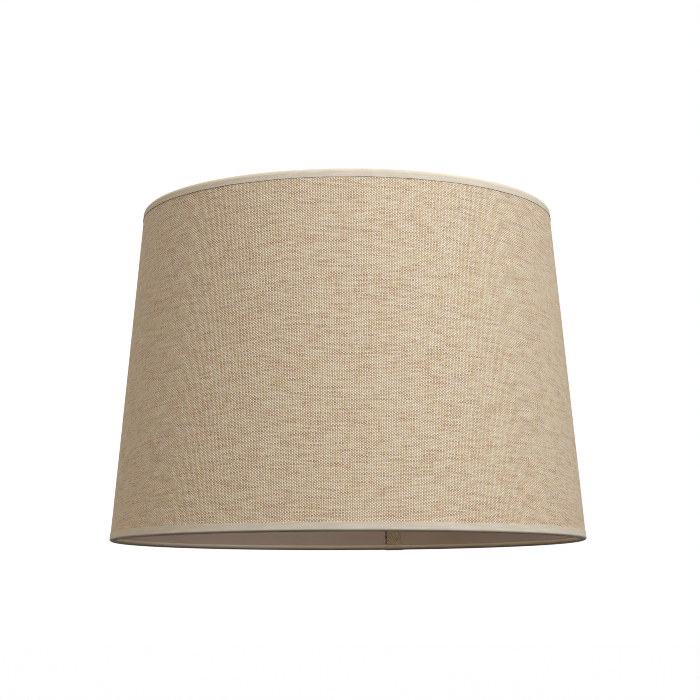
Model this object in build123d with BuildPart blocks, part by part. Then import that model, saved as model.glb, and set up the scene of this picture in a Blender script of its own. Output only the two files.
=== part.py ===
from build123d import *
import math
import os

# A tapered hardback lamp shade: woven cloth bonded to a stiff lining, bound at both rims with
# folded tape over a wire ring, and hung by a three-arm fitter. Millimetres, +Z up, with the
# origin on the axis at the lowest face, so that the shade stands on the plane z = 0.

# Overall size, over the binding tapes
height = 280.0
bottom_diameter = 400.0
top_diameter = 350.0

# Wall: one cloth and one lining, bonded together with a thin film of glue
fabric_thickness = 0.5
lining_thickness = 0.4
glue_line = 0.05

# Seam: one end of the wall, with its cloth turned in, laps over the other end at the back
seam_angle = 80.0
seam_lap = 12.0
seam_tape_width = 8.0
seam_tape_thickness = 0.2
seam_clearance = 0.5

# Binding tape, folded over each rim and round its wire
tape_thickness = 0.35
tape_leg = 7.0
tape_turn_in = 5.0
tape_landing = 0.8
tape_fold_radius = 0.6

# Wire frame
ring_wire = 3.0
spoke_wire = 3.0
spoke_count = 3
spoke_start_angle = 30.0
spoke_lap = 4.5
spoke_lead = 6.0
spoke_bend_radius = 12.0
notch_clearance = 0.5
weld_sink = 0.4

# Fitter ring, set down inside the shade, with the hole for a 42 mm lamp holder
fitter_drop = 40.0
fitter_hole = 42.0
fitter_band = 8.0
fitter_thickness = 1.6
fitter_edge_radius = 0.3

# Reducer ring, dropped into the fitter's hole for a 29 mm lamp holder
reducer_bore = 29.0
reducer_clearance = 0.2
reducer_flange_gap = 0.9
reducer_flange_thickness = 1.5
reducer_spigot_length = 2.4
reducer_edge_radius = 0.4

# Depths of the wall's faces below its outermost face, measured level
lean = math.atan((bottom_diameter - top_diameter) / 2 / height)
cloth_depth = tape_thickness + glue_line
cloth_back = cloth_depth + fabric_thickness
lining_depth = cloth_back + glue_line
inside_depth = lining_depth + lining_thickness
rim_gap = tape_thickness + glue_line
fitter_top = height - fitter_drop
fitter_radius = fitter_hole / 2 + fitter_band


def wall_point(z, depth):
    """A point of the upright section at height z, this far inside the wall's outermost face."""
    return (bottom_diameter / 2 - z * math.tan(lean) - depth, z)


def upright_plane(angle):
    """The upright plane through the axis whose X runs outward at this angle."""
    turn = math.radians(angle)
    outward = (math.cos(turn), math.sin(turn), 0)
    sideways = (math.sin(turn), -math.cos(turn), 0)
    return Plane((0, 0, 0), x_dir=outward, z_dir=sideways)


def wall_layer(low, high, outer_depth, inner_depth):
    """The section of one layer of the wall between two heights."""
    with BuildSketch() as layer:
        with BuildLine():
            Polyline(
                wall_point(low, outer_depth),
                wall_point(high, outer_depth),
                wall_point(high, inner_depth),
                wall_point(low, inner_depth),
                close=True,
            )
        make_face()
    return layer.sketch


def ring_centre(rim, inward):
    """The wire's centre at a rim: in the fold of the tape and against the lining."""
    z = rim + inward * (rim_gap + ring_wire / 2)
    face = wall_point(z, inside_depth + glue_line)[0]
    return (face - ring_wire / 2 / math.cos(lean), z)


def touch_point(centre, radius, target, inward):
    """Where a straight line from the target touches the circle, on the side of the axis."""
    across = target[0] - centre[0]
    along = target[1] - centre[1]
    turn = math.acos(radius / math.hypot(across, along))
    angle = math.atan2(along, across) + inward * turn
    return (centre[0] + radius * math.cos(angle), centre[1] + radius * math.sin(angle))


def tape_section(rim, inward):
    """The tape: a leg outside, a fold under the rim, and a turn round the wire to the lining."""
    ring = ring_centre(rim, inward)
    free_edge = rim + inward * tape_leg
    inner_edge = rim + inward * tape_turn_in
    landing = inner_edge - inward * tape_landing
    under_tape = ring_wire / 2 + glue_line
    over_tape = under_tape + tape_thickness
    leg_end = wall_point(free_edge, 0)
    fold_start = wall_point(rim + inward * tape_fold_radius, 0)
    fold_end = (wall_point(rim, 0)[0] - tape_fold_radius, rim)
    outer_tip = wall_point(inner_edge, inside_depth + rim_gap)
    inner_tip = wall_point(inner_edge, inside_depth + glue_line)
    inner_landing = wall_point(landing, inside_depth + glue_line)
    outer_touch = touch_point(ring, over_tape, outer_tip, inward)
    inner_touch = touch_point(ring, under_tape, inner_landing, inward)
    down_the_wall = Vector(*fold_start) - Vector(*leg_end)
    inner_fold = (ring[0], rim + inward * tape_thickness)
    inner_corner = wall_point(rim + inward * tape_thickness, tape_thickness)
    leg_inside = wall_point(free_edge, tape_thickness)
    with BuildSketch() as tape:
        with BuildLine():
            Line(leg_end, fold_start)
            TangentArc(fold_start, fold_end, tangent=down_the_wall)
            Line(fold_end, (ring[0], rim))
            ThreePointArc((ring[0], rim), (ring[0] - over_tape, ring[1]), outer_touch)
            Polyline(outer_touch, outer_tip, inner_tip, inner_landing, inner_touch)
            ThreePointArc(inner_touch, (ring[0] - under_tape, ring[1]), inner_fold)
            Polyline(inner_fold, inner_corner, leg_inside, leg_end)
        make_face()
    return tape.sketch


def save(node, label):
    """Labels one finished piece and writes its file."""
    node.part.label = label
    export_step(node.part, f"parts/{label}.step")


os.makedirs("parts", exist_ok=True)

# Wire rings that hold both rims round
with BuildPart() as bottom_ring:
    with BuildSketch(Plane.XZ):
        with Locations(ring_centre(0, 1)):
            Circle(ring_wire / 2)
    revolve(axis=Axis.Z)

with BuildPart() as top_ring:
    with BuildSketch(Plane.XZ):
        with Locations(ring_centre(height, -1)):
            Circle(ring_wire / 2)
    revolve(axis=Axis.Z)

# Lining: the stiff sheet that carries the cloth
with BuildPart() as lining:
    with BuildSketch(Plane.XZ):
        add(wall_layer(rim_gap, height - rim_gap, lining_depth, inside_depth))
    revolve(axis=Axis.Z)

# Adhesive strip inside the seam, between the two ends of the wall
seam_low = tape_leg + seam_clearance
seam_high = height - tape_leg - seam_clearance
strip_depth = cloth_depth - seam_tape_thickness
strip_arc = math.degrees(seam_tape_width / (bottom_diameter / 2))
lap_arc = math.degrees(seam_lap / (bottom_diameter / 2))
strip_start = seam_angle + (lap_arc - strip_arc) / 2
with BuildPart() as seam_tape:
    with BuildSketch(upright_plane(strip_start)):
        add(wall_layer(seam_low, seam_high, strip_depth, cloth_depth))
    revolve(axis=Axis.Z, revolution_arc=strip_arc)

# Cloth, with the lapped end of the wall standing proud of it over the adhesive strip
lap_thickness = 2 * fabric_thickness + lining_thickness
lap_root = cloth_depth + fabric_thickness / 2
with BuildPart() as outer_fabric:
    with BuildSketch(Plane.XZ):
        add(wall_layer(rim_gap, height - rim_gap, cloth_depth, cloth_back))
    revolve(axis=Axis.Z)
    with BuildSketch(upright_plane(seam_angle)):
        add(wall_layer(seam_low, seam_high, strip_depth - lap_thickness, lap_root))
    revolve(axis=Axis.Z, revolution_arc=lap_arc)
    add(seam_tape.part, mode=Mode.SUBTRACT)

# Fitter ring, which the lamp holder's nut clamps
with BuildPart() as fitter_ring:
    with BuildSketch(Plane.XY.offset(fitter_top - fitter_thickness)):
        Circle(fitter_radius)
        Circle(fitter_hole / 2, mode=Mode.SUBTRACT)
    extrude(amount=fitter_thickness)
    rims = fitter_ring.edges().filter_by(GeomType.CIRCLE)
    fillet(rims, fitter_edge_radius)

# Reducer ring: its flange lies on the fitter ring, inside the spokes' ends, and its spigot
# drops through the hole
flange_radius = fitter_radius - spoke_lap - reducer_flange_gap
with BuildPart() as reducer_ring:
    with BuildSketch(Plane.XY.offset(fitter_top)):
        Circle(flange_radius)
    extrude(amount=reducer_flange_thickness)
    with BuildSketch(Plane.XY.offset(fitter_top)):
        Circle(fitter_hole / 2 - reducer_clearance)
    extrude(amount=-reducer_spigot_length)
    top_rim = reducer_ring.edges().group_by(Axis.Z)[-1]
    foot_rim = reducer_ring.edges().group_by(Axis.Z)[0]
    fillet(top_rim + foot_rim, reducer_edge_radius)
    with BuildSketch(Plane.XY.offset(fitter_top + reducer_flange_thickness)):
        Circle(reducer_bore / 2)
    extrude(amount=-reducer_flange_thickness - reducer_spigot_length, mode=Mode.SUBTRACT)

# Spokes: straight wires that slope down from the top ring and lie flat on the fitter ring
ring_x, ring_z = ring_centre(height, -1)
spoke_z = fitter_top + spoke_wire / 2 - weld_sink
spoke_route = (
    (ring_x - ring_wire / 2 + weld_sink, ring_z),
    (fitter_radius + spoke_lead, spoke_z),
    (fitter_radius - spoke_lap, spoke_z),
)
spoke_angles = [spoke_start_angle + i * 360 / spoke_count for i in range(spoke_count)]
for number, angle in enumerate(spoke_angles, start=1):
    with BuildPart() as spoke:
        with BuildLine(upright_plane(angle)) as route:
            FilletPolyline(*spoke_route, radius=spoke_bend_radius)
        with BuildSketch(Plane(origin=route.line @ 0, z_dir=route.line % 0)):
            Circle(spoke_wire / 2)
        sweep(path=route.line)
        add(top_ring.part, mode=Mode.SUBTRACT)
        add(fitter_ring.part, mode=Mode.SUBTRACT)
    save(spoke, f"spoke_{number}")

# Binding tapes; the top one is slit where each spoke passes through its inner edge
with BuildPart() as bottom_trim:
    with BuildSketch(Plane.XZ):
        add(tape_section(0, 1))
    revolve(axis=Axis.Z)

notch_width = spoke_wire + 2 * notch_clearance
notch_low = height - tape_turn_in - notch_clearance
notch_high = ring_z + ring_wire / 2
notch_inside = ring_x - ring_wire / 2 - tape_thickness - glue_line - notch_clearance
with BuildPart() as top_trim:
    with BuildSketch(Plane.XZ):
        add(tape_section(height, -1))
    revolve(axis=Axis.Z)
    for angle in spoke_angles:
        with BuildSketch(upright_plane(angle)):
            with BuildLine():
                Polyline(
                    (notch_inside, notch_low),
                    wall_point(notch_low, inside_depth),
                    wall_point(notch_high, inside_depth),
                    (notch_inside, notch_high),
                    close=True,
                )
            make_face()
        extrude(amount=notch_width / 2, both=True, mode=Mode.SUBTRACT)

save(bottom_ring, "bottom_ring")
save(top_ring, "top_ring")
save(lining, "lining")
save(seam_tape, "seam_tape")
save(outer_fabric, "outer_fabric")
save(fitter_ring, "fitter_ring")
save(reducer_ring, "reducer_ring")
save(bottom_trim, "bottom_trim")
save(top_trim, "top_trim")
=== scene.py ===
import math

import bmesh
import bpy
import numpy as np
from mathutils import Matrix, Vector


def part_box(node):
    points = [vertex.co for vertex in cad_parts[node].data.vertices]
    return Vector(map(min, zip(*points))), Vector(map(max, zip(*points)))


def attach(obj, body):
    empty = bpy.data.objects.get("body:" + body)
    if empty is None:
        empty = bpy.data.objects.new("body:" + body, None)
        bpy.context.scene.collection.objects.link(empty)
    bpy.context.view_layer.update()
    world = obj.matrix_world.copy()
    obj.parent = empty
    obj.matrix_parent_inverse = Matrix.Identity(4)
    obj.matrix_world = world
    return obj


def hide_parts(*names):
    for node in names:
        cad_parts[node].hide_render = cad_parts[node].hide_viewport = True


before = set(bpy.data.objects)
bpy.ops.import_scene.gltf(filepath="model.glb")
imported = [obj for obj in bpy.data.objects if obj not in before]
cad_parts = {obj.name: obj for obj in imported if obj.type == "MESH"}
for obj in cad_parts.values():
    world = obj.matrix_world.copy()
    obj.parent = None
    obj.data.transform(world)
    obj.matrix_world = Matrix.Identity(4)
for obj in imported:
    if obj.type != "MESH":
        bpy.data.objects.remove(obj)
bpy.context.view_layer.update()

# ---------------------------------------------------------------------------------------------
# Outer cloth: a linen-look furnishing fabric in plain weave, cut as one piece of a flat ring and
# bonded to the stiff lining. The wall's ends meet at the back, where one is glued over the other
# with its cloth turned round the lining's edge: a fold outside, a strip of bare cloth inside.
MM = 0.001
bottom_low, bottom_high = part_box("bottom_trim")
top_low, top_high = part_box("top_trim")
HEIGHT = top_high.z - bottom_low.z
FOLD_RADIUS = 0.6 * MM   # the bottom tape's fold, which sets its widest line this far up
WALL_TAPER = (bottom_high.x - top_high.x) / (top_low.z - bottom_low.z - FOLD_RADIUS)
BOTTOM_RADIUS = bottom_high.x + WALL_TAPER * FOLD_RADIUS
LEAN = math.atan(WALL_TAPER)
APEX = BOTTOM_RADIUS / math.sin(LEAN)    # down the slope, from the cone's point to its foot
GLUE = 0.05 * MM
TAPE_THICKNESS = 0.35 * MM
CLOTH_THICKNESS = 0.5 * MM
LINING_THICKNESS = 0.4 * MM
SEAM_TAPE = 0.2 * MM
CLOTH_DEPTH = TAPE_THICKNESS + GLUE      # from the wall's outermost face
SWAY = 0.35 * MM         # how far a hand-rolled wall strays from a true cone

RAW_END = 80.0           # degrees round from +X: where the covered end of the wall stops
SEAM_LAP = 12 * MM       # how far the other end laps over it
TURN_IN = 27 * MM        # the cloth turned round that end's edge and back inside
RISE_ANGLE = 12.0        # degrees over which the wall climbs on to the covered end
FULL_TURN = RAW_END + 360    # the same place, one turn on
LAP_ANGLE = math.degrees(SEAM_LAP / BOTTOM_RADIUS)
TURN_IN_ANGLE = math.degrees(TURN_IN / BOTTOM_RADIUS)
WALL_SHORT = 2.2 * MM    # how far the wall's edge stands back from the rim, inside the tape
FOLD_PUFF = 0.4 * MM     # how far the turned edge stands off, as cloth does where it folds
PUFF_ANGLE = 1.2         # degrees before the folded edge where it starts to stand off
SEAM_RISE = 2 * (CLOTH_THICKNESS + GLUE) + LINING_THICKNESS + SEAM_TAPE

AROUND_STEP = 1.0        # degrees between the mesh's columns round the plain wall
SEAM_STEP = 0.25         # and at the seam
WALL_ROWS = 57
CREASE_ANGLE = 50.0      # degrees past which an edge shows sharp


def smooth_step(value):
    """0 up to 0, 1 from 1, and an even S between them."""
    t = np.clip(value, 0, 1)
    return t * t * (3 - 2 * t)


def seam_climb(degrees):
    """How far out the wall stands at this place along its length, as it climbs its own end."""
    return SEAM_RISE * smooth_step((degrees - FULL_TURN + RISE_ANGLE) / RISE_ANGLE)


def wall_sway(degrees, z):
    """The wall's slight unevenness: none at the rims, where the rings hold it."""
    turn = np.radians(degrees)
    held = np.sin(np.pi * np.clip(z / HEIGHT, 0, 1)) ** 0.8
    lobes = 0.5 * np.sin(3 * turn + 0.4) + 0.3 * np.sin(5 * turn + 2.1 + 4 * z)
    return SWAY * held * (lobes + 0.2 * np.sin(9 * turn + 1.3 - 7 * z))


def on_wall(degrees, depth, z):
    """A point this far inside the wall's outermost face, in metres."""
    radius = BOTTOM_RADIUS - WALL_TAPER * z - depth + wall_sway(degrees, z)
    turn = np.radians(degrees)
    return np.stack([radius * np.cos(turn), radius * np.sin(turn), z + 0 * radius], axis=-1)


def add_object(name, data):
    """A new object in the scene."""
    made = bpy.data.objects.new(name, data)
    bpy.context.scene.collection.objects.link(made)
    return made


def thick_sheet(name, front, back, cut, present=None):
    """A closed sheet from two grids of points, with its flat cut as its UV map, in metres.
    Cells that are not present are left out, and the sheet is closed round them."""
    columns, rows = front.shape[:2]
    if present is None:
        present = np.ones((columns - 1, rows - 1), bool)
    half = columns * rows
    points = np.concatenate([front.reshape(-1, 3), back.reshape(-1, 3)])
    number = np.arange(half).reshape(columns, rows)
    faces = []
    for i, k in np.argwhere(present):
        a, b, c, d = number[i, k], number[i + 1, k], number[i + 1, k + 1], number[i, k + 1]
        faces.append((a, b, c, d))
        faces.append((a + half, d + half, c + half, b + half))
        beside = {
            (a, d): i == 0 or not present[i - 1, k],
            (c, b): i == columns - 2 or not present[i + 1, k],
            (b, a): k == 0 or not present[i, k - 1],
            (d, c): k == rows - 2 or not present[i, k + 1],
        }
        faces += [(p, q, q + half, p + half) for (p, q), bare in beside.items() if bare]
    mesh = bpy.data.meshes.new(name)
    mesh.from_pydata(points.tolist(), [], [[int(n) for n in face] for face in faces])
    flat = np.concatenate([cut.reshape(-1, 2)] * 2)
    corner = np.empty(len(mesh.loops), int)
    mesh.loops.foreach_get("vertex_index", corner)
    layer = mesh.uv_layers.new(name="Cut")
    layer.data.foreach_set("uv", flat[corner].astype(np.float32).ravel())
    shape = bmesh.new()
    shape.from_mesh(mesh)
    bmesh.ops.delete(shape, geom=[v for v in shape.verts if not v.link_faces], context="VERTS")
    bmesh.ops.recalc_face_normals(shape, faces=shape.faces)
    shape.to_mesh(mesh)
    shape.free()
    mesh.shade_smooth()
    mesh.set_sharp_from_angle(angle=math.radians(CREASE_ANGLE))
    return add_object(name, mesh)


def wall_sheet(name, degrees, depths, thickness):
    """A sheet whose mid-line in plan is given by angle and depth, standing up the whole wall.
    Returns it and its length at the bottom rim."""
    along = np.radians(degrees) * BOTTOM_RADIUS
    step_x, step_y = np.gradient(along), np.gradient(-depths)
    length = np.hypot(step_x, step_y)
    out_x, out_y = -step_y / length, step_x / length
    travelled = np.concatenate([[0], np.cumsum(np.hypot(np.diff(along), np.diff(depths)))])
    z = np.linspace(WALL_SHORT, HEIGHT - WALL_SHORT, WALL_ROWS)[None, :]
    sides = []
    for side in (thickness / 2, -thickness / 2):
        angle = np.degrees((along + side * out_x) / BOTTOM_RADIUS)
        depth = depths - side * out_y
        sides.append(on_wall(angle[:, None], depth[:, None], z))
    slant = APEX - z / math.cos(LEAN)
    turn = (travelled - travelled[-1] / 2)[:, None] / BOTTOM_RADIUS * math.sin(LEAN)
    cut = np.stack([slant * np.sin(turn), APEX - slant * np.cos(turn)], axis=-1)
    return thick_sheet(name, *sides, cut), travelled[-1]


def wall_columns():
    """Where the wall's columns stand, in degrees, from its raw end round to its folded edge."""
    around = np.arange(RAW_END, FULL_TURN - RISE_ANGLE, AROUND_STEP)
    climb = np.arange(FULL_TURN - RISE_ANGLE, FULL_TURN + LAP_ANGLE, SEAM_STEP)
    return np.concatenate([around, climb])


def cloth_line():
    """The cloth's mid-line in plan: round the wall, up on to its own end, and turned back."""
    level = CLOTH_DEPTH + CLOTH_THICKNESS / 2
    outward = wall_columns()
    gap = CLOTH_THICKNESS + LINING_THICKNESS + 2 * GLUE
    edge = FULL_TURN + LAP_ANGLE
    puffed = FOLD_PUFF * smooth_step(outward - edge + PUFF_ANGLE)
    fold_points = 9
    fold = np.radians(np.linspace(90, -90, fold_points))
    loop = (gap + FOLD_PUFF) / 2
    fold_degrees = edge + np.degrees(loop / BOTTOM_RADIUS) * np.cos(fold)
    fold_depths = level - SEAM_RISE - FOLD_PUFF + loop * (1 - np.sin(fold))
    just_inside = edge - 0.1
    inward = np.arange(just_inside, edge - TURN_IN_ANGLE, -SEAM_STEP)
    degrees = np.concatenate([outward, fold_degrees, inward])
    depths = np.concatenate(
        [level - seam_climb(outward) - puffed, fold_depths, level + gap - seam_climb(inward)]
    )
    return degrees, depths


cloth, cloth_length = wall_sheet("cloth", *cloth_line(), CLOTH_THICKNESS)


def linear(text):
    """An sRGB hex colour as Blender's linear colour, with full alpha."""
    channels = [int(text[i : i + 2], 16) / 255 for i in (1, 3, 5)]
    bend = [c / 12.92 if c <= 0.04045 else ((c + 0.055) / 1.055) ** 2.4 for c in channels]
    return (*bend, 1.0)


def add_node(tree, kind, inputs=(), **settings):
    """Adds one node, with its settings, and its inputs by socket name or number: a socket is
    linked, a node is linked by its first output, and anything else is the input's value."""
    made = tree.nodes.new(kind)
    for key, value in settings.items():
        setattr(made, key, value)
    for socket, value in dict(inputs).items():
        if isinstance(value, bpy.types.Node):
            value = value.outputs[0]
        if isinstance(value, bpy.types.NodeSocket):
            tree.links.new(value, made.inputs[socket])
        else:
            made.inputs[socket].default_value = value
    return made


def new_material(name):
    """A material with an empty tree, and its Principled shader joined to the output."""
    material = bpy.data.materials.new(name)
    material.use_nodes = True
    tree = material.node_tree
    tree.nodes.clear()
    shader = add_node(tree, "ShaderNodeBsdfPrincipled")
    add_node(tree, "ShaderNodeOutputMaterial", {"Surface": shader.outputs["BSDF"]})
    return material, tree, shader


def yarn_tone(tree, thread, along, length):
    """Uneven spinning: a tone that wanders along each yarn and has nothing to do with the next
    yarn's. length is how far, in metres, a slub or a dark stretch runs."""
    far_apart = 7.31
    row = add_node(tree, "ShaderNodeMath", {0: thread, 1: far_apart}, operation="MULTIPLY")
    reach = add_node(tree, "ShaderNodeMath", {0: along, 1: length}, operation="DIVIDE")
    place = add_node(tree, "ShaderNodeCombineXYZ", {0: row, 1: reach})
    return add_node(
        tree,
        "ShaderNodeTexNoise",
        {"Vector": place, "Scale": 1.0, "Detail": 2.0, "Roughness": 0.6},
        noise_dimensions="2D",
    )


def plain_weave(tree, warp_pitch, weft_pitch, wander, weft_rise):
    """Plain weave on the flat cut, whose yarns stray by up to half of wander. Returns the warp's
    and weft's numbers and places along, which of them is on top, how far from a gap the place
    is, from 0 in the gaps to 1 on the crowns, and the relief, in which the weft's crowns stand
    weft_rise times as high as the warp's."""
    roundness = 0.6       # below 1, a yarn's top is flatter and its sides are steeper
    crimp = 0.5           # how far a yarn rises over its neighbours, against its own thickness
    cut = add_node(tree, "ShaderNodeUVMap", uv_map="Cut")
    # A noise's scale is so many waves in a real length, here 9 in 100 mm.
    drift = add_node(
        tree,
        "ShaderNodeTexNoise",
        {"Vector": cut, "Scale": 9 / (100 * MM), "Detail": 2.0},
        noise_dimensions="2D",
    )
    shift = add_node(
        tree,
        "ShaderNodeVectorMath",
        {0: drift.outputs["Color"], 1: (0.5, 0.5, 0.5)},
        operation="SUBTRACT",
    )
    moved = add_node(
        tree,
        "ShaderNodeVectorMath",
        {0: shift, 1: (wander, wander, 0), 2: cut},
        operation="MULTIPLY_ADD",
    )
    across = add_node(tree, "ShaderNodeSeparateXYZ", {0: moved})
    x, y = across.outputs["X"], across.outputs["Y"]
    numbers, waves = [], []
    for distance, pitch in ((x, warp_pitch), (y, weft_pitch)):
        count = add_node(tree, "ShaderNodeMath", {0: distance, 1: pitch}, operation="DIVIDE")
        numbers.append(add_node(tree, "ShaderNodeMath", {0: count}, operation="FLOOR"))
        share = add_node(tree, "ShaderNodeMath", {0: count}, operation="FRACT")
        aside = add_node(tree, "ShaderNodeMath", {0: share, 1: 0.5}, operation="SUBTRACT")
        turn = add_node(tree, "ShaderNodeMath", {0: aside, 1: math.pi}, operation="MULTIPLY")
        waves.append(add_node(tree, "ShaderNodeMath", {0: turn}, operation="COSINE"))
    warp_number, weft_number = numbers
    warp_wave, weft_wave = waves
    both = add_node(tree, "ShaderNodeMath", {0: warp_number, 1: weft_number}, operation="ADD")
    odd = add_node(tree, "ShaderNodeMath", {0: both, 1: 1.0}, operation="PINGPONG")
    over = add_node(tree, "ShaderNodeMath", {0: odd, 1: 2.0, 2: -1.0}, operation="MULTIPLY_ADD")
    under = add_node(tree, "ShaderNodeMath", {0: over, 1: -1.0}, operation="MULTIPLY")
    heights = []
    for own, other, side in ((warp_wave, weft_wave, over), (weft_wave, warp_wave, under)):
        body = add_node(tree, "ShaderNodeMath", {0: own, 1: roundness}, operation="POWER")
        bend = add_node(tree, "ShaderNodeMath", {0: other, 1: side}, operation="MULTIPLY")
        rise = {0: bend, 1: crimp, 2: body}
        heights.append(add_node(tree, "ShaderNodeMath", rise, operation="MULTIPLY_ADD"))
    warp_height, weft_height = heights
    pair = {0: warp_height, 1: weft_height}
    warp_on_top = add_node(tree, "ShaderNodeMath", pair, operation="GREATER_THAN")
    top = add_node(tree, "ShaderNodeMath", pair, operation="MAXIMUM")
    crown = add_node(tree, "ShaderNodeMath", {0: top, 1: 1 + crimp}, operation="DIVIDE")
    sunk = add_node(tree, "ShaderNodeMath", {0: weft_height, 1: weft_rise}, operation="MULTIPLY")
    face = add_node(tree, "ShaderNodeMath", {0: warp_height, 1: sunk}, operation="MAXIMUM")
    relief = add_node(tree, "ShaderNodeMath", {0: face, 1: 1 + crimp}, operation="DIVIDE")
    return (warp_number, y), (weft_number, x), warp_on_top, crown, relief


# Linen-look polyester furnishing cloth, dyed in the yarn: pale warp and tan weft give the eye a
# fine check, with brown slubs. Matt, with a little lint that catches grazing light. The yarns
# are as far apart as a coarse furnishing linen's, so they are drawn at their real spacing.
WARP_PITCH = 1.27 * MM
WEFT_PITCH = 1.0 * MM
linen, tree, shader = new_material("yarn_dyed_linen_weave")
warp, weft, warp_on_top, crown, relief = plain_weave(
    tree, WARP_PITCH, WEFT_PITCH, wander=0.5 * MM, weft_rise=0.3
)
tones = []
for yarn, stops, length in (
    (warp, ((0.3, "#d5c09b"), (0.45, "#e2d4ba"), (0.55, "#e5dac6"), (0.7, "#e7e0d3")), 11 * MM),
    (weft, ((0.3, "#a57a58"), (0.43, "#c6a381"), (0.55, "#d0bb97"), (0.7, "#dbceac")), 18 * MM),
):
    tone = yarn_tone(tree, *yarn, length)
    ramp = add_node(tree, "ShaderNodeValToRGB", {"Fac": tone})
    while len(ramp.color_ramp.elements) < len(stops):
        ramp.color_ramp.elements.new(0.5)
    for stop, (place, colour) in zip(ramp.color_ramp.elements, stops):
        stop.position = place
        stop.color = linear(colour)
    tones.append(ramp.outputs["Color"])
colour_a, colour_b, colour_out = 6, 7, 2    # the Mix node's sockets for colours
yarns = add_node(
    tree,
    "ShaderNodeMix",
    {"Factor": warp_on_top, colour_a: tones[1], colour_b: tones[0]},
    data_type="RGBA",
)
# Painted shade: the yarns' colour is darkened towards the gaps between them, where shade falls
# between the threads.
gap = add_node(
    tree,
    "ShaderNodeMapRange",
    {"Value": crown, "From Min": 0.45, "From Max": 0.85, "To Min": 0.68, "To Max": 1.0},
)
shaded = add_node(
    tree,
    "ShaderNodeVectorMath",
    {0: yarns.outputs[colour_out], 1: gap},
    operation="MULTIPLY",
)
bump = add_node(
    tree,
    "ShaderNodeBump",
    {"Height": relief, "Strength": 1.0, "Distance": 0.45 * MM},
)
tree.links.new(bump.outputs[0], shader.inputs["Normal"])
tree.links.new(shaded.outputs[0], shader.inputs["Base Color"])
shader.inputs["Roughness"].default_value = 0.62
shader.inputs["IOR"].default_value = 1.5
shader.inputs["Specular IOR Level"].default_value = 0.5
shader.inputs["Sheen Weight"].default_value = 0.05
shader.inputs["Sheen Roughness"].default_value = 0.5
cloth.data.materials.append(linen)
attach(cloth, "shade")
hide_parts("outer_fabric")

# ---------------------------------------------------------------------------------------------
# Lining: a stiff styrene sheet, which gives the shade its shape. It is cut flush with the
# covered end of the cloth and stops inside the fold at the other end.
LINING_DEPTH = CLOTH_DEPTH + CLOTH_THICKNESS + GLUE
INSIDE_DEPTH = LINING_DEPTH + LINING_THICKNESS
columns = wall_columns()
lining_depths = LINING_DEPTH + LINING_THICKNESS / 2 - seam_climb(columns)
lining, _ = wall_sheet("lining_sheet", columns, lining_depths, LINING_THICKNESS)

# Calendered styrene with a satin face: an even warm grey, faintly clouded, with a soft gloss.
# The grey is partly the sheet's colour and partly painted shade, set darker to stand for the dim
# inside of the shade.
styrene, tree, shader = new_material("calendered_styrene")
cut = add_node(tree, "ShaderNodeUVMap", uv_map="Cut")
peel = add_node(
    tree,
    "ShaderNodeTexNoise",
    {"Vector": cut, "Scale": 7 / (10 * MM), "Detail": 2.0},
    noise_dimensions="2D",
)
bump = add_node(
    tree,
    "ShaderNodeBump",
    {"Height": peel, "Strength": 0.15, "Distance": 0.2 * MM},
)
tree.links.new(bump.outputs[0], shader.inputs["Normal"])
cloud = add_node(
    tree,
    "ShaderNodeTexNoise",
    {"Vector": cut, "Scale": 1 / (40 * MM), "Detail": 3.0},
    noise_dimensions="2D",
)
tint = add_node(tree, "ShaderNodeValToRGB", {"Fac": cloud})
tint.color_ramp.elements[0].color = linear("#bca99a")
tint.color_ramp.elements[1].color = linear("#cdbbac")
tree.links.new(tint.outputs[0], shader.inputs["Base Color"])
shader.inputs["Roughness"].default_value = 0.5
shader.inputs["IOR"].default_value = 1.59
lining.data.materials.append(styrene)
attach(lining, "shade")
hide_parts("lining")

# ---------------------------------------------------------------------------------------------
# Binding tapes: fine cream cotton tape, glued down outside, folded under the rim, round the
# wire ring and on to the lining. Each laps over its own start at the seam. The top one is slit
# at its inner edge where a spoke comes through.
RING_WIRE = 3.0 * MM
TAPE_LEG = bottom_high.z - bottom_low.z
INNER_LEG = 5.0 * MM    # from the rim to the tape's edge inside
LANDING = 0.8 * MM      # the last of it, which lies flat on the lining
TAPE_ROLL = 2.4 * MM    # the tape's outer radius where it turns under the wall's edge
LEG_WANDER = 0.15 * MM  # how far the outer leg's edge strays from true
TAPE_LAP = 4.3          # degrees that a tape's end laps over its start
LAP_LIFT = 1.0          # degrees before the lap in which it climbs on to that start
SLIT_WIDTH = 4.0 * MM   # measured round the wall's foot, so an eighth less at the top rim
SPOKE_ANGLES = (30.0, 150.0, 270.0)

# Degrees in which a tape comes down off the lapped end outside, and inside crosses the edge of
# the turned-in cloth and the wall's raw end.
OUTER_DROP = 0.8
STRIP_DROP = 0.4
RAW_DROP = 0.5

# Points across a tape: down its leg, round the roll, over to the wire and round the wire.
LEG_POINTS = 7
ROLL_POINTS = 6
FLAT_SHARES = (0.33, 0.67)
WRAP_POINTS = 14
SLIT_START = 3          # points of the wrap that a slit leaves whole, under the wire

TAPE_STEP = 0.2         # degrees between columns near a tape's ends
FINE_BEFORE = 6         # degrees of such columns before its end
FINE_AFTER = 10         # and after its start
CLOSEST = 0.02          # degrees; columns no further apart than this are one
PLAIN_PLACE = 200.0     # degrees round to a stretch away from the seam


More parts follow.
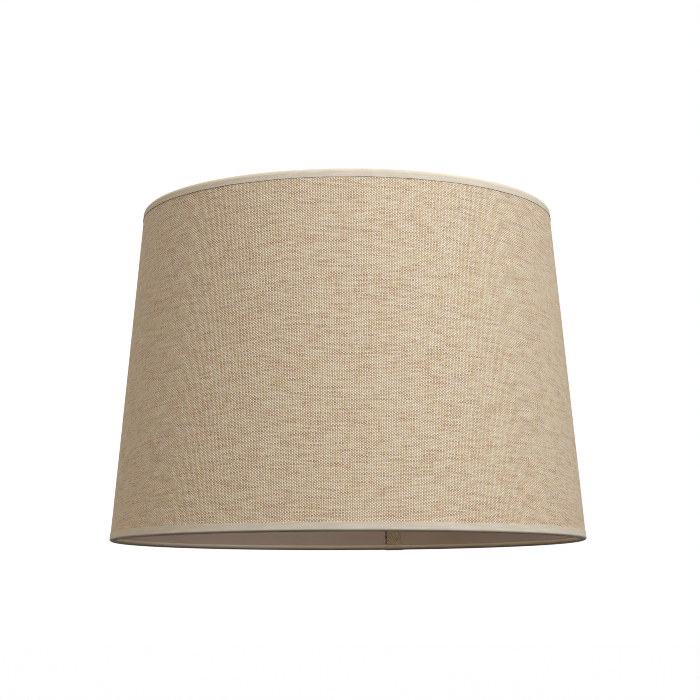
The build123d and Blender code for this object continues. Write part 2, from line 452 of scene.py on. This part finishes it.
def tape_line(degrees, rim, inward):
    """The tape's mid-line across its width at one place round the rim: radius and height."""
    place = (degrees - RAW_END) % 360 + RAW_END
    lap_end = RAW_END + LAP_ANGLE
    falling = 1 - smooth_step((place - lap_end) / OUTER_DROP)
    outward = SEAM_RISE * falling + seam_climb(place)
    strip = smooth_step((place - FULL_TURN + TURN_IN_ANGLE - LAP_ANGLE) / STRIP_DROP)
    inset = seam_climb(place) - (CLOTH_THICKNESS + GLUE) * strip
    inset *= 1 - smooth_step((place - FULL_TURN + RAW_DROP) / RAW_DROP)
    wander = LEG_WANDER * np.sin(np.radians(degrees) * 23) * np.sin(np.radians(degrees) * 7)
    middle = TAPE_THICKNESS / 2

    def up(distance):
        return rim + inward * distance

    def wall(z, depth):
        return BOTTOM_RADIUS - WALL_TAPER * z - depth

    ring_z = up(CLOTH_DEPTH + RING_WIRE / 2)
    ring_r = wall(ring_z, INSIDE_DEPTH + GLUE) - RING_WIRE / 2 / math.cos(LEAN)
    wrap = RING_WIRE / 2 + GLUE + middle
    points = []
    for distance in np.linspace(TAPE_LEG + wander, TAPE_ROLL, LEG_POINTS):
        points.append((wall(up(distance), middle) + outward, up(distance)))
    bend = TAPE_ROLL - middle
    fold = wall(rim, TAPE_ROLL) + outward
    for turn in np.radians(np.linspace(0, 90, ROLL_POINTS + 1))[1:]:
        points.append((fold + bend * math.cos(turn), up(TAPE_ROLL - bend * math.sin(turn))))
    for share in FLAT_SHARES:
        points.append((fold + (ring_r - fold) * share, up(middle)))
    tip = (wall(up(INNER_LEG), INSIDE_DEPTH + GLUE + middle) + inset, up(INNER_LEG))
    landing_z = up(INNER_LEG - LANDING)
    landing = (wall(landing_z, INSIDE_DEPTH + GLUE + middle) + inset, landing_z)
    reach_r, reach_z = landing[0] - ring_r, inward * (landing[1] - ring_z)
    last = math.atan2(reach_z, reach_r) + math.acos(wrap / math.hypot(reach_r, reach_z))
    for turn in np.linspace(-math.pi / 2, last - 2 * math.pi, WRAP_POINTS):
        points.append((ring_r + wrap * math.cos(turn), ring_z + inward * wrap * math.sin(turn)))
    touch = points[-1]
    points.append(((touch[0] + landing[0]) / 2, (touch[1] + landing[1]) / 2))
    points += [landing, tip]
    return np.array(points)


def bind_rim(name, rim, inward, slits):
    """One tape, all round its rim and over its own start, slit at the given angles. Returns it
    and its flat width and length."""
    start = FULL_TURN - TAPE_LAP - 360
    just_past = FULL_TURN + 0.01
    stops = set(np.arange(start, just_past, AROUND_STEP).tolist())
    stops |= set(np.arange(FULL_TURN - FINE_BEFORE, just_past, TAPE_STEP).tolist())
    stops |= set(np.arange(start, start + FINE_AFTER, TAPE_STEP).tolist())
    half_slit = math.degrees(SLIT_WIDTH / 2 / BOTTOM_RADIUS)
    for angle in slits:
        for side in (-half_slit, half_slit):
            stops.add(angle + side + (360 if angle + side < start else 0))
    degrees = np.array(sorted(stops))
    degrees = degrees[np.concatenate([[True], np.diff(degrees) > CLOSEST])]
    front, back = [], []
    for place in degrees:
        line = tape_line(place, rim, inward)
        run = np.gradient(line, axis=0)
        normal = inward * np.stack([-run[:, 1], run[:, 0]], axis=1)
        normal /= np.linalg.norm(normal, axis=1)[:, None]
        lapping = (place - FULL_TURN + TAPE_LAP + LAP_LIFT) / LAP_LIFT
        lift = (TAPE_THICKNESS + GLUE) * smooth_step(lapping)
        turn = math.radians(place)
        for side, grid in ((1, front), (-1, back)):
            put = line + normal * (lift + side * TAPE_THICKNESS / 2)
            grid.append(
                np.stack([put[:, 0] * math.cos(turn), put[:, 0] * math.sin(turn), put[:, 1]], 1)
            )
    steps = np.linalg.norm(np.diff(tape_line(PLAIN_PLACE, rim, inward), axis=0), axis=1)
    width = np.concatenate([[0], np.cumsum(steps)])
    length = np.radians(degrees - start) * (BOTTOM_RADIUS - WALL_TAPER * rim)
    cut = np.stack(np.broadcast_arrays(length[:, None], width[None, :]), axis=-1)
    present = np.ones((len(degrees) - 1, len(width) - 1), bool)
    middles = (degrees[:-1] + degrees[1:]) / 2
    slit_from = LEG_POINTS + ROLL_POINTS + len(FLAT_SHARES) + SLIT_START
    for angle in slits:
        away = (middles - angle + 180) % 360 - 180
        present[np.abs(away) < half_slit, slit_from:] = False
    piece = thick_sheet(name, np.array(front), np.array(back), cut, present)
    return piece, (width[-1], length[-1])


# Fine plain-woven cotton tape, starched flat: paler and smoother than the cloth. A real one has
# a thread about every 0.4 mm; the weave is drawn nearly twice as coarse, so that it shows.
TAPE_WARP_PITCH = 0.75 * MM
TAPE_WEFT_PITCH = 0.7 * MM
cotton, tree, shader = new_material("fine_cotton_tape")
_, weft, _, crown, relief = plain_weave(
    tree, TAPE_WARP_PITCH, TAPE_WEFT_PITCH, wander=0.3 * MM, weft_rise=0.8
)
tone = yarn_tone(tree, *weft, 30 * MM)
tint = add_node(tree, "ShaderNodeValToRGB", {"Fac": tone})
tint.color_ramp.elements[0].position = 0.3
tint.color_ramp.elements[1].position = 0.7
tint.color_ramp.elements[0].color = linear("#d2c8b5")
tint.color_ramp.elements[1].color = linear("#ddd5c6")
# Painted shade: the tape's colour is darkened towards the gaps between its threads, where shade
# falls between them.
gap = add_node(
    tree,
    "ShaderNodeMapRange",
    {"Value": crown, "From Min": 0.45, "From Max": 0.85, "To Min": 0.7, "To Max": 1.0},
)
shaded = add_node(
    tree,
    "ShaderNodeVectorMath",
    {0: tint, 1: gap},
    operation="MULTIPLY",
)
bump = add_node(
    tree,
    "ShaderNodeBump",
    {"Height": relief, "Strength": 0.6, "Distance": 0.15 * MM},
)
tree.links.new(bump.outputs[0], shader.inputs["Normal"])
tree.links.new(shaded.outputs[0], shader.inputs["Base Color"])
shader.inputs["Roughness"].default_value = 0.85
shader.inputs["Specular IOR Level"].default_value = 0.25

for name, rim, inward, slits, node in (
    ("bottom_binding", bottom_low.z, 1, (), "bottom_trim"),
    ("top_binding", top_high.z, -1, SPOKE_ANGLES, "top_trim"),
):
    tape, flat = bind_rim(name, rim, inward, slits)
    tape.data.materials.append(cotton)
    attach(tape, "shade")
    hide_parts(node)

# ---------------------------------------------------------------------------------------------
# Wire frame: two rings, three spokes and the fitter ring, resistance-welded steel with one
# white powder coat over all.

# Polyester powder, sprayed dry and baked: off-white, with a soft gloss that fine orange peel
# breaks up.
powder, tree, shader = new_material("white_powder_coat")
place = add_node(tree, "ShaderNodeTexCoord").outputs["Object"]
peel = add_node(
    tree,
    "ShaderNodeTexNoise",
    {"Vector": place, "Scale": 9 / (10 * MM), "Detail": 1.0},
)
bump = add_node(
    tree,
    "ShaderNodeBump",
    {"Height": peel, "Strength": 0.25, "Distance": 0.15 * MM},
)
tree.links.new(bump.outputs[0], shader.inputs["Normal"])
cover = add_node(
    tree,
    "ShaderNodeMapRange",
    {"Value": peel, "To Min": 0.32, "To Max": 0.42},
)
tree.links.new(cover.outputs[0], shader.inputs["Roughness"])
shader.inputs["Base Color"].default_value = linear("#d9d7d1")
for node in ("top_ring", "bottom_ring", "spoke_1", "spoke_2", "spoke_3", "fitter_ring"):
    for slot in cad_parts[node].material_slots:
        slot.material = powder

# The welds at each spoke's ends, with half sizes outward, across and upward.
PLATE_WELD = (1.9 * MM, 2.3 * MM, 0.9 * MM)
RING_WELD = (0.9 * MM, 1.8 * MM, 1.5 * MM)
PLATE_WELD_INSET = 2.2 * MM    # its middle, in from the fitter ring's edge
RING_WELD_INSET = 0.3 * MM     # and in from the inner side of the ring's wire
WELD_ROUGHNESS = 0.12


def lump(shape, angle, radius, z, half_sizes, seed):
    """One weld: an uneven bead of run metal."""
    turn = math.radians(angle)
    outward = Vector((math.cos(turn), math.sin(turn), 0))
    across = Vector((-math.sin(turn), math.cos(turn), 0))
    middle = outward * radius + Vector((0, 0, z))
    made = bmesh.ops.create_icosphere(shape, subdivisions=3, radius=1.0)
    for vert in made["verts"]:
        waves = math.sin(5 * vert.co.x + seed) * math.sin(6 * vert.co.y + 2 * seed)
        rough = 1 + WELD_ROUGHNESS * waves
        along, side, up = (c * h * rough for c, h in zip(vert.co, half_sizes))
        vert.co = middle + outward * along + across * side + Vector((0, 0, up))


_, fitter_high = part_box("fitter_ring")
ring_low, ring_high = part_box("top_ring")
shape = bmesh.new()
for seed, angle in enumerate(SPOKE_ANGLES):
    on_plate = (fitter_high.x - PLATE_WELD_INSET, fitter_high.z)
    ring_middle = (ring_low.z + ring_high.z) / 2
    at_ring = (ring_high.x - RING_WIRE - RING_WELD_INSET, ring_middle)
    lump(shape, angle, *on_plate, PLATE_WELD, seed)
    lump(shape, angle, *at_ring, RING_WELD, seed + 5)
weld_mesh = bpy.data.meshes.new("welds")
shape.to_mesh(weld_mesh)
shape.free()
weld_mesh.shade_smooth()
welds = add_object("welds", weld_mesh)
welds.data.materials.append(powder)
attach(welds, "shade")

# ---------------------------------------------------------------------------------------------
# Reducer ring: a plastic moulding with a flange and a spigot, dropped loose into the fitter
# ring, which it narrows for a smaller lamp holder.

# White polypropylene, injection-moulded: a soft waxy gloss over the tool's faint grain.
plastic, tree, shader = new_material("moulded_polypropylene")
place = add_node(tree, "ShaderNodeTexCoord").outputs["Object"]
grain = add_node(
    tree,
    "ShaderNodeTexNoise",
    {"Vector": place, "Scale": 15 / (10 * MM), "Detail": 2.0},
)
bump = add_node(
    tree,
    "ShaderNodeBump",
    {"Height": grain, "Strength": 0.12, "Distance": 0.1 * MM},
)
tree.links.new(bump.outputs[0], shader.inputs["Normal"])
shader.inputs["Base Color"].default_value = linear("#e0dfda")
shader.inputs["Roughness"].default_value = 0.38
shader.inputs["IOR"].default_value = 1.49
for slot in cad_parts["reducer_ring"].material_slots:
    slot.material = plastic

# ---------------------------------------------------------------------------------------------
# Adhesive strip in the seam: double-sided film, laid along the covered end of the wall and shut
# in by the lap.

# Acrylic adhesive coated on film: milky, slightly streaked and tacky, so it has a wet shine.
film, tree, shader = new_material("double_sided_film")
place = add_node(tree, "ShaderNodeTexCoord").outputs["Object"]
streak = add_node(tree, "ShaderNodeTexNoise", {"Vector": place, "Scale": 4 / (10 * MM)})
tint = add_node(tree, "ShaderNodeValToRGB", {"Fac": streak})
tint.color_ramp.elements[0].color = linear("#d9d4c2")
tint.color_ramp.elements[1].color = linear("#e9e5d6")
tree.links.new(tint.outputs[0], shader.inputs["Base Color"])
shader.inputs["Roughness"].default_value = 0.3
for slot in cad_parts["seam_tape"].material_slots:
    slot.material = film

# ---------------------------------------------------------------------------------------------
# Glue line: a thin bead of hot-melt glue that squeezed out along the wall's raw end inside the
# shade and was wiped down, so it is uneven, with a heavier spot near the bottom rim.
# Its dark colour is partly the glue's own and partly painted shadow, standing for the shade
# along the raw end's step.
BEAD_WIDTH = 1.1 * MM
BEAD_ENDS = 6 * MM       # how far its ends stand from the rims; the tapes cover the rest
BEAD_STATIONS = 241
BEAD_SIDES = 12
BEAD_FLATNESS = 0.55     # its thickness as a share of its width, wiped down as it is
BEAD_SHIFT = 0.35 * MM   # its middle, past the raw end
BEAD_SUNK = 0.3 * MM     # and behind the lining's inner face
SPOT_HEIGHT = 12 * MM    # the heavier spot near the bottom rim
SPOT_SPREAD = 4 * MM
heights = np.linspace(BEAD_ENDS, HEIGHT - BEAD_ENDS, BEAD_STATIONS)
uneven = 1 + 0.22 * np.sin(heights * 410) + 0.18 * np.sin(heights * 1130 + 1)
heavy = 1 + 0.8 * np.exp(-(((heights - SPOT_HEIGHT) / SPOT_SPREAD) ** 2))
half_width = BEAD_WIDTH / 2 * uneven * heavy
around = np.radians(np.linspace(0, 360, BEAD_SIDES, endpoint=False))
middle_depth = INSIDE_DEPTH - BEAD_SUNK
rings = []
for z, half in zip(heights, half_width):
    degrees = RAW_END + np.degrees((half * np.cos(around) - BEAD_SHIFT) / BOTTOM_RADIUS)
    depths = middle_depth + BEAD_FLATNESS * half * np.sin(around)
    rings.append(on_wall(degrees, depths, np.full(BEAD_SIDES, z)))
rings = np.array(rings)
numbers = np.arange(BEAD_STATIONS * BEAD_SIDES).reshape(BEAD_STATIONS, BEAD_SIDES)
faces = []
for low, high in zip(numbers[:-1].tolist(), numbers[1:].tolist()):
    low_next = low[1:] + low[:1]
    high_next = high[1:] + high[:1]
    faces += list(zip(low, low_next, high_next, high))
faces += [numbers[0][::-1].tolist(), numbers[-1].tolist()]
bead_mesh = bpy.data.meshes.new("glue_bead_and_painted_shadow")
bead_mesh.from_pydata(rings.reshape(-1, 3).tolist(), [], faces)
shape = bmesh.new()
shape.from_mesh(bead_mesh)
bmesh.ops.recalc_face_normals(shape, faces=shape.faces)
shape.to_mesh(bead_mesh)
shape.free()
bead_mesh.shade_smooth()
bead = add_object("glue_bead_and_painted_shadow", bead_mesh)

# Hot-melt glue, applied molten: a dark amber, partly the glue's own colour and partly painted
# shadow along the raw end, varied at random in tone, with a soft shine.
glue_and_shadow_dark, tree, shader = new_material("hot_melt_glue_and_painted_shadow")
place = add_node(tree, "ShaderNodeTexCoord").outputs["Object"]
dark_tone_noise = add_node(tree, "ShaderNodeTexNoise", {"Vector": place, "Scale": 3 / (10 * MM)})
tint = add_node(tree, "ShaderNodeValToRGB", {"Fac": dark_tone_noise})
tint.color_ramp.elements[0].color = linear("#4e3b2a")
tint.color_ramp.elements[1].color = linear("#75583c")
tree.links.new(tint.outputs[0], shader.inputs["Base Color"])
shader.inputs["Roughness"].default_value = 0.4
bead.data.materials.append(glue_and_shadow_dark)
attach(bead, "shade")

# ---------------------------------------------------------------------------------------------
# Studio: a pale floor well below the shade, which is seen from just under its bottom rim as it
# hangs at lamp height, with one soft key light at the front right and a bright, even room.
FLOOR_DROP = 1.2         # metres below the bottom rim
FLOOR_RADIUS = 60.0
floor_mesh = bpy.data.meshes.new("floor")
shape = bmesh.new()
bmesh.ops.create_circle(shape, cap_ends=True, segments=96, radius=FLOOR_RADIUS)
bmesh.ops.translate(shape, verts=shape.verts, vec=(0, 0, -FLOOR_DROP))
shape.to_mesh(floor_mesh)
shape.free()
floor = add_object("floor", floor_mesh)

# Matt studio paint under its own floodlights: plain and almost white.
paint, tree, shader = new_material("matt_studio_paint")
shader.inputs["Base Color"].default_value = linear("#dfeafc")
shader.inputs["Roughness"].default_value = 0.9
shader.inputs["Emission Color"].default_value = linear("#e8f3ff")
shader.inputs["Emission Strength"].default_value = 0.27
floor.data.materials.append(paint)
floor.visible_diffuse = False


def area_light(name, azimuth, elevation, distance, size, power, colour):
    """A square soft light aimed at the middle of the shade."""
    lamp = bpy.data.lights.new(name, "AREA")
    lamp.size = size
    lamp.energy = power
    lamp.color = linear(colour)[:3]
    rig = add_object(name, lamp)
    across, up = math.radians(azimuth), math.radians(elevation)
    way = Vector(
        (math.sin(across) * math.cos(up), -math.cos(across) * math.cos(up), math.sin(up))
    )
    rig.location = way * distance + Vector((0, 0, HEIGHT / 2))
    rig.rotation_euler = way.to_track_quat("Z", "Y").to_euler()


area_light("key", azimuth=30, elevation=32, distance=1.5, size=0.8, power=16.5, colour="#f0f7ff")

# The room is white to look at, and lights the shade more from above than from the side.
world = bpy.data.worlds.new("studio")
world.use_nodes = True
bpy.context.scene.world = world
tree = world.node_tree
tree.nodes.clear()
backdrop = add_node(tree, "ShaderNodeBackground", {"Color": (1, 1, 1, 1), "Strength": 1.0})
way = add_node(tree, "ShaderNodeTexCoord").outputs["Generated"]
rise = add_node(tree, "ShaderNodeSeparateXYZ", {0: way}).outputs["Z"]
glow = add_node(
    tree,
    "ShaderNodeMapRange",
    {"Value": rise, "From Min": -0.1, "From Max": 0.4, "To Min": 0.04, "To Max": 1.08},
)
room = add_node(
    tree,
    "ShaderNodeBackground",
    {"Color": linear("#fff1df"), "Strength": glow},
)
seen = add_node(tree, "ShaderNodeLightPath").outputs["Is Camera Ray"]
either = add_node(
    tree,
    "ShaderNodeMixShader",
    {0: seen, 1: room, 2: backdrop},
)
add_node(tree, "ShaderNodeOutputWorld", {"Surface": either})

# What keeps each yarn apart from the next in the picture: plain colours, a denoiser whose
# guides aren't smoothed first, and a narrow filter.
bpy.context.scene.view_settings.view_transform = "Standard"
bpy.context.scene.cycles.denoising_prefilter = "NONE"
bpy.context.scene.cycles.filter_width = 1.0

# Camera: a long lens 1.5 m away, 59 mm below the bottom rim and tilted up.
camera_data = bpy.data.cameras.new("camera")
camera_data.sensor_width = 36.0
camera_data.lens = 90.9
camera = add_object("camera", camera_data)
camera.location = (0.0103, -1.5012, -0.0586)
tilt = math.radians(8.434)
swing = math.radians(-0.308)
roll = math.radians(-0.223)
aim = Vector(
    (math.sin(swing) * math.cos(tilt), math.cos(swing) * math.cos(tilt), math.sin(tilt))
)
camera.rotation_mode = "QUATERNION"
level_aim = aim.to_track_quat("-Z", "Y").to_matrix()
camera.rotation_quaternion = (level_aim @ Matrix.Rotation(roll, 3, "Z")).to_quaternion()
bpy.context.scene.camera = camera
